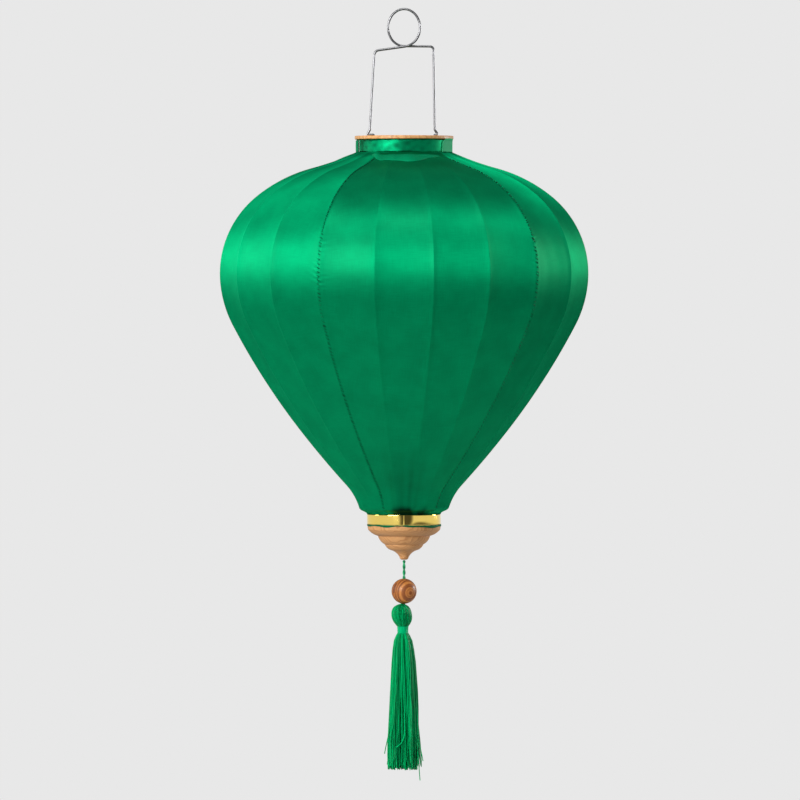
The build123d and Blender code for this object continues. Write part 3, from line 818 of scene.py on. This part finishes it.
def gore_surface(index):
    """Points, flat-pattern coordinates and painted shade of one gore.

    Each facet lies on the chord between two ribs, less the cloth's depth. The flat pattern fans out from the
    gore's middle line as a cone's does.
    """
    first = FIRST_SEAM + 4 * FACET_ANGLE * index
    turn = first + (facet[None] + 0.5) * FACET_ANGLE
    r, z, s = radius[:, None], level[:, None], across[None]
    spread = (facet[None] + 0.5 - FACETS / 2) * FACET_ANGLE + s * HALF
    azimuth = first + 2 * FACET_ANGLE + spread
    depth = silk_depth(index, r, z, s, spread, azimuth)
    far = r + depth * sinking[:, None]
    side = s * (r * math.tan(HALF))
    points = beside_line(far, side, turn, z + depth * -widening[:, None])
    fan = np.where(np.abs(widening) < 0.02, 0.02, widening)[:, None]
    u = r / fan * np.sin(spread * fan)
    v = run[:, None] - r / fan * (1 - np.cos(spread * fan))
    return points, np.stack([u, -v], -1), fold_shade(z, azimuth)


def weave_group(name):
    """Node group: satin from flat coordinates in metres. Gives a slubby Tone, a Thread mask and a Height."""
    group, enter, leave = new_group(name, (), ("Tone", "Thread", "Height"))
    flat = enter.outputs["Vector"]
    threads = []
    for stretch in ((1500, 60, 1), (70, 1300, 1)):
        drawn = vector_maths(group, "MULTIPLY", flat, stretch)
        threads.append(noise(group, drawn, 1.0, 3.0, noise_dimensions="2D"))
    both = maths(group, "ADD", *threads)
    tone = noise(group, flat, 45.0, 4.0, noise_dimensions="2D")
    results = {"Tone": tone, "Thread": both, "Height": maths(group, "MULTIPLY", both, 0.00003)}
    for label, socket in results.items():
        group.links.new(socket, leave.inputs[label])
    return group


satin_weave = weave_group("satin_weave")


def satin_material(name, colour, metallic, roughness, anisotropy):
    """Green satin: a broad sheen drawn out along the weft, over a dyed body colour that a point attribute
    darkens with painted shade and, on the ribbon, a random mottle.
    """
    made, tree, shader = new_material(
        name, colour, roughness, metallic, Anisotropic=anisotropy, Specular_IOR_Level=0.2,
        Coat_Weight=0.02, Coat_Roughness=0.42, Specular_Tint=(0.06, 1.0, 0.60, 1),
    )
    place = add(tree, "ShaderNodeUVMap", uv_map="cloth")
    tangent = add(tree, "ShaderNodeTangent", direction_type="UV_MAP", uv_map="cloth")
    tree.links.new(tangent.outputs[0], shader.inputs["Tangent"])
    cloth = add(tree, "ShaderNodeGroup", {"Vector": place.outputs[0]}, node_tree=satin_weave)
    shade = ramp(tree, cloth.outputs["Tone"], 0.3, 0.7, 0.93, 1.07)
    thread = ramp(tree, cloth.outputs["Thread"], 0.7, 1.3, 0.93, 1.07)
    # Painted shade: a point attribute darkens the base colour.
    folded = add(tree, "ShaderNodeAttribute", attribute_name="fold")
    shadow = maths(tree, "MULTIPLY_ADD", folded.outputs["Fac"], -0.72, 1.0)
    both = maths(tree, "MULTIPLY", maths(tree, "MULTIPLY", shade, shadow), thread)
    tree.links.new(vector_maths(tree, "SCALE", colour, both), shader.inputs["Base Color"])
    add_bump(tree, shader, cloth.outputs["Height"], 0.5)
    return made


def cloth_object(name, points, closed, material, flat, thickness, **values):
    """A sheet from its grid of points (rows, columns, 3), thickened inwards; closed joins its side edges."""
    rows, columns = points.shape[:2]
    made = mesh_object(name, points, grid_faces(rows, columns, closed), material, uv=flat, **values)
    solid = made.modifiers.new("thickness", "SOLIDIFY")
    solid.thickness = thickness
    solid.offset = -1.0
    return made


silk_look = satin_material("green_satin", (0.0, 0.300, 0.118), 0.78, 0.641, 0.818)
for g in range(GORE_COUNT):
    # Each gore carries its painted shade as a point attribute.
    gore_points, gore_flat, gore_fold = gore_surface(g)
    gore = cloth_object(
        f"silk_gore_cloth_{g + 1}", gore_points, False, silk_look, gore_flat, CLOTH_THICKNESS,
        fold=gore_fold,
    )
    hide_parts(f"silk_gore_{g + 1}")

# ------------------------------
# Seam stitches. Green thread over the joined edges on every fourth rib: fine
# close stitches at the top, coarse whip stitches round the widest part, and
# a finer slanting row down to the neck.
stitch_look = thread_material("seam_thread", (0.0, 0.022, 0.010), (0.0, 0.13, 0.050), 0.6)
stitch_draw = np.random.default_rng(23)
rib_scale = 1 / math.cos(HALF)


def run_at(height):
    """The length run down the outline to a height below the collar."""
    return float(np.interp(-height, -level[3:], run[3:]))


def stitch_row(azimuth, start, end, pitch, length, slant, lift):
    """Small arched bars across a seam line, at an even pitch between two heights on the outline.

    Each bar rises over the seam as 1 - x squared, and slants by a share of its length.
    """
    at = np.arange(run_at(start), run_at(end), pitch)
    at = at + stitch_draw.normal(0, 0.14 * pitch, len(at))
    r = np.interp(at, run, radius) * rib_scale
    z = np.interp(at, run, level)
    out = np.stack([-np.interp(at, run, sinking), np.interp(at, run, widening)], -1)
    down = np.stack([np.interp(at, run, widening), np.interp(at, run, sinking)], -1)
    x = np.array([-1.0, -0.45, 0.45, 1.0])
    size = length * stitch_draw.uniform(0.75, 1.2, len(at))[:, None] / 2
    rise = lift * (1 - x ** 2) - 0.00045 - np.abs(x) * size * math.tan(HALF)
    along_seam = slant * x * size
    far = r[:, None] + out[:, :1] * rise + down[:, :1] * along_seam
    high = z[:, None] + out[:, 1:] * rise + down[:, 1:] * along_seam
    return beside_line(far, x * size, azimuth, high)


for g in range(GORE_COUNT):
    turn = FIRST_SEAM + 4 * FACET_ANGLE * g
    fine = stitch_row(turn, -0.142, -0.214, 0.0021, 0.0013, 0.25, 0.0006)
    coarse = stitch_row(turn, -0.214, -0.300, 0.0040, 0.0036, 0.55, 0.0008)
    slanted = stitch_row(turn, -0.300, -0.474, 0.0034, 0.0024, 0.9, 0.0006)
    counts = (len(fine), len(coarse), len(slanted))
    sizes = np.repeat((0.00034, 0.00042, 0.00028), counts)[:, None] * np.array([0.6, 1, 1, 0.6])
    tones = np.concatenate([
        np.full(counts[0], -0.35),
        stitch_draw.uniform(-0.1, 0.9, counts[1]),
        stitch_draw.uniform(-0.1, 0.4, counts[2]),
    ])
    bars = np.concatenate([fine, coarse, slanted])
    seam = thread_object(f"seam_stitches_{g + 1}", bars, sizes, stitch_look, "lantern", tone=tones)

# ------------------------------
# Hem fold. The front gore's spare edge, turned down over itself under the
# ribbon, with a wavy free edge.
HEM_ROWS = 20
HEM_COLUMNS = 110
hem_turn = np.radians(np.linspace(-36, 36, HEM_COLUMNS))
hem_drop = np.linspace(0, 1, HEM_ROWS)[:, None]
hem_from = smooth(0, 0.30, hem_turn - hem_turn[0])
hem_to = 0.25 + 0.75 * smooth(0, 0.55, hem_turn[-1] - hem_turn)
hem_long = 0.0142 + 0.0022 * np.sin(5.5 * hem_turn + 0.9) + 0.0009 * np.sin(13 * hem_turn)
hem_long = (hem_long + 0.0004 * np.sin(31 * hem_turn)) * hem_from * hem_to + 0.0010
hem_run = run_at(-0.1387) + hem_drop * hem_long
hem_puff = smooth(0, 0.16, hem_turn - hem_turn[0]) * smooth(0, 0.22, hem_turn[-1] - hem_turn)
hem_bulge = 0.0022 * np.sin(math.pi * hem_drop ** 0.8) * hem_puff
hem_lift = 0.0004 + hem_bulge * (1 + 0.3 * np.sin(9 * hem_turn + 1) + 0.15 * np.sin(23 * hem_turn))
hem_chord = 1 / np.cos((hem_turn - FIRST_SEAM) % FACET_ANGLE - HALF)
hem_radius = np.interp(hem_run, run, radius) * hem_chord - np.interp(hem_run, run, sinking) * hem_lift
hem_height = np.interp(hem_run, run, level) + np.interp(hem_run, run, widening) * hem_lift
hem_points = around(hem_radius, hem_turn, hem_height)
hem_flat = np.stack(np.broadcast_arrays(0.05 * hem_turn, -hem_run), -1)
hem_look = satin_material("green_satin_fold", (0.0, 0.20, 0.080), 0.4, 0.6, 0.3)
hem = cloth_object("silk_hem_fold", hem_points, False, hem_look, hem_flat, CLOTH_THICKNESS)

# ------------------------------
# Collar ribbon. Woven satin ribbon glued round the ring over the silk's edge.
# Its second end passes a little under the first, which is frayed, at the
# left. A matte patch of the same cloth is glued over it at the right.
COLLAR_RADIUS = 0.0460
RIBBON_TOP = -0.1232
RIBBON_END = -0.1354
RIBBON_COLUMNS = 280
RIBBON_START = -67.0
RIBBON_STOP = 296.0
RIBBON_ROWS = 14
ribbon_turn = np.radians(np.linspace(RIBBON_START, RIBBON_STOP, RIBBON_COLUMNS))
ribbon_drop = np.linspace(0, 1, RIBBON_ROWS)[:, None]
ribbon_top = RIBBON_TOP - 0.00035 * (1 + np.sin(7 * ribbon_turn))
ribbon_top = ribbon_top - 0.0002 * (1 + np.sin(17 * ribbon_turn + 1))
ribbon_end = RIBBON_END + 0.00025 * np.sin(5 * ribbon_turn + 2) + 0.0002 * np.sin(11 * ribbon_turn)
ribbon_curl = 0.0008 * smooth(math.radians(61), math.radians(67), -ribbon_turn)
ribbon_curl = ribbon_curl - 0.0005 * smooth(math.radians(282), math.radians(286), ribbon_turn)
ribbon_ripple = 0.00005 * np.sin(2 * math.pi * ribbon_drop + 5 * ribbon_turn)
ribbon_far = COLLAR_RADIUS + 0.00010 * np.sin(3 * ribbon_turn) + ribbon_curl + ribbon_ripple
ribbon_points = around(ribbon_far, ribbon_turn, ribbon_top + (ribbon_end - ribbon_top) * ribbon_drop)
ribbon_flat = np.stack(np.broadcast_arrays(COLLAR_RADIUS * ribbon_turn, -0.012 * ribbon_drop), -1)
ribbon_look = satin_material("green_ribbon", (0.0, 0.240, 0.095), 0.80, 0.42, 0.15)
# Painted shade: the ribbon is darkened except round its bright stretch near -27 degrees, and darkest at its
# second end, where it shows in the gap and passes in shadow under the first. ribbon_mottle adds a random tone,
# and ribbon_edges darkens it towards its top and bottom edges.
ribbon_painted_shade = np.interp(
    np.degrees(ribbon_turn), [-66, -60, -41, -27, -18, 0, 13, 25, 284, 287, 296],
    [1.0, 0.90, 0.35, 0.15, 0.55, 0.50, 0.2, 0.0, 0.0, 1.35, 1.35],
)
ribbon_mottle = waves(COLLAR_RADIUS * ribbon_turn, 0.012 * ribbon_drop, 23, count=16, low=300, high=1200)
ribbon_edges = 0.5 * smooth(0.86, 1.0, ribbon_drop) + 0.3 * smooth(0.14, 0.0, ribbon_drop)
ribbon = cloth_object(
    "ribbon_band", ribbon_points, False, ribbon_look, ribbon_flat, 0.0005,
    fold=np.clip(ribbon_painted_shade + 0.22 * ribbon_mottle + ribbon_edges, 0, 1.36),
)
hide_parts("collar_ribbon")

PATCH_ROWS = 22
PATCH_COLUMNS = 24
PATCH_END = 80.0
patch_rows = np.linspace(0, 1, PATCH_ROWS)[:, None]
patch_left = np.interp(patch_rows, [0.0, 0.28, 0.45, 1.0], [60.0, 57.0, 52.0, 50.5])
patch_turn = np.radians(patch_left + (PATCH_END - patch_left) * np.linspace(0, 1, PATCH_COLUMNS)[None])
patch_steps = [0.0, 0.12, 0.22, 0.30, 0.40, 1.0]
patch_radius = np.interp(patch_rows, patch_steps, [0.0464, 0.0470, 0.0472, 0.0471, 0.0468, 0.0467])
patch_height = np.interp(patch_rows, patch_steps, [-0.1221, -0.1223, -0.1227, -0.1236, -0.1246, -0.1352])
patch_points = around(patch_radius, patch_turn, patch_height + 0.0001 * np.sin(40 * patch_turn))
patch_look = satin_material("matte_patch", (0.035, 0.37, 0.165), 0.0, 0.8, 0.0)
patch_flat = np.stack(np.broadcast_arrays(COLLAR_RADIUS * patch_turn, -0.02 * patch_rows), -1)
patch = cloth_object("ribbon_patch", patch_points, False, patch_look, patch_flat, CLOTH_THICKNESS)

FRAY_COUNT = 26
fray_high = np.linspace(RIBBON_TOP - 0.0008, RIBBON_END + 0.0006, FRAY_COUNT)[:, None]
fray_draw = np.random.default_rng(31)
fray_turn = np.radians(-66.7 + fray_draw.uniform(-0.8, 0.3, FRAY_COUNT))[:, None]
fray_from = np.radians(-65.2)
fray_share = np.linspace(0, 1, 5)[None]
fray_angle = fray_from + (fray_turn - fray_from) * fray_share
fray_far = 0.0466 + 0.0002 * np.sin(3 * fray_share)
fray_stray = 0.0005 * fray_draw.normal(0, 1, FRAY_COUNT)[:, None]
fray_paths = around(fray_far, fray_angle, fray_high + fray_stray * fray_share ** 2)
fray_look = thread_material("frayed_ends", (0.06, 0.22, 0.12), (0.35, 0.55, 0.42), 0.6)
fray_tone = fray_draw.uniform(0, 0.8, FRAY_COUNT)
fray = thread_object("ribbon_frayed_end", fray_paths, 0.00016, fray_look, "lantern", tone=fray_tone)

# ------------------------------
# Gold band. Metallised tape pulled tight round the silk's gathered lower
# edge, mirror bright, with a few shallow creases.
BAND_TOP = -0.4797
BAND_END = -0.4896
BAND_COLUMNS = 240
BAND_ROWS = 16
band_turn = circle(BAND_COLUMNS)
band_drop = np.linspace(0, 1, BAND_ROWS)[:, None]
band_crease = waves(0.035 * band_turn, 0.012 * band_drop, 3, count=16, low=60, high=300)
band_far = 0.03535 + 0.00010 * np.sin(math.pi * band_drop) + 0.00034 * band_crease * (1 - 0.3 * band_drop)
band_edge = 0.00018 * np.sin(5 * band_turn + 1) + 0.00012 * np.sin(12 * band_turn)
band_height = BAND_TOP + (BAND_END - BAND_TOP) * band_drop
band_height = band_height + band_edge * (1 - 2 * np.abs(band_drop - 0.5))
band_points = around(band_far, band_turn, band_height)
gold_look, gold_tree, gold_shader = new_material("gold_tape", (0.95, 0.71, 0.17), 0.09, 1.0)
gold_place = add(gold_tree, "ShaderNodeTexCoord").outputs["Object"]
gold_rough = ramp(gold_tree, noise(gold_tree, gold_place, 160.0, 4.0), 0.35, 0.75, 0.04, 0.14)
gold_tree.links.new(gold_rough, gold_shader.inputs["Roughness"])
band = cloth_object("gold_tape_band", band_points, True, gold_look, None, 0.0005)
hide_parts("gold_band")

# ------------------------------
# Silk's raw edge. A sliver of the gores' trimmed lower edge that shows under
# the gold band at the right and a little at the front.
EDGE_TOP = -0.4893
EDGE_RADIUS = 0.0352
edge_turn = circle(180)
edge_right = 0.0013 * np.exp(-((edge_turn - 0.85) / 0.5) ** 2)
edge_front = 0.0006 * np.exp(-((edge_turn - 5.8) / 0.2) ** 2)
edge_long = 0.0006 + edge_right + 0.0003 * np.sin(9 * edge_turn) + edge_front
edge_drop = np.linspace(0, 1, 6)[:, None]
edge_far = EDGE_RADIUS + 0.0002 * edge_drop + 0.0001 * np.sin(14 * edge_turn)
edge_points = around(edge_far, edge_turn, EDGE_TOP - (0.0009 + edge_long) * edge_drop)
edge_flat = np.stack(np.broadcast_arrays(EDGE_RADIUS * edge_turn, -0.002 * edge_drop), -1)
# Its colour is a third of the gores': painted shade under the gold band's lip.
edge_shaded_look = satin_material("green_raw_edge", (0.0, 0.10, 0.040), 0.2, 0.7, 0.0)
edge = cloth_object("silk_raw_edge", edge_points, True, edge_shaded_look, edge_flat, 0.0003)
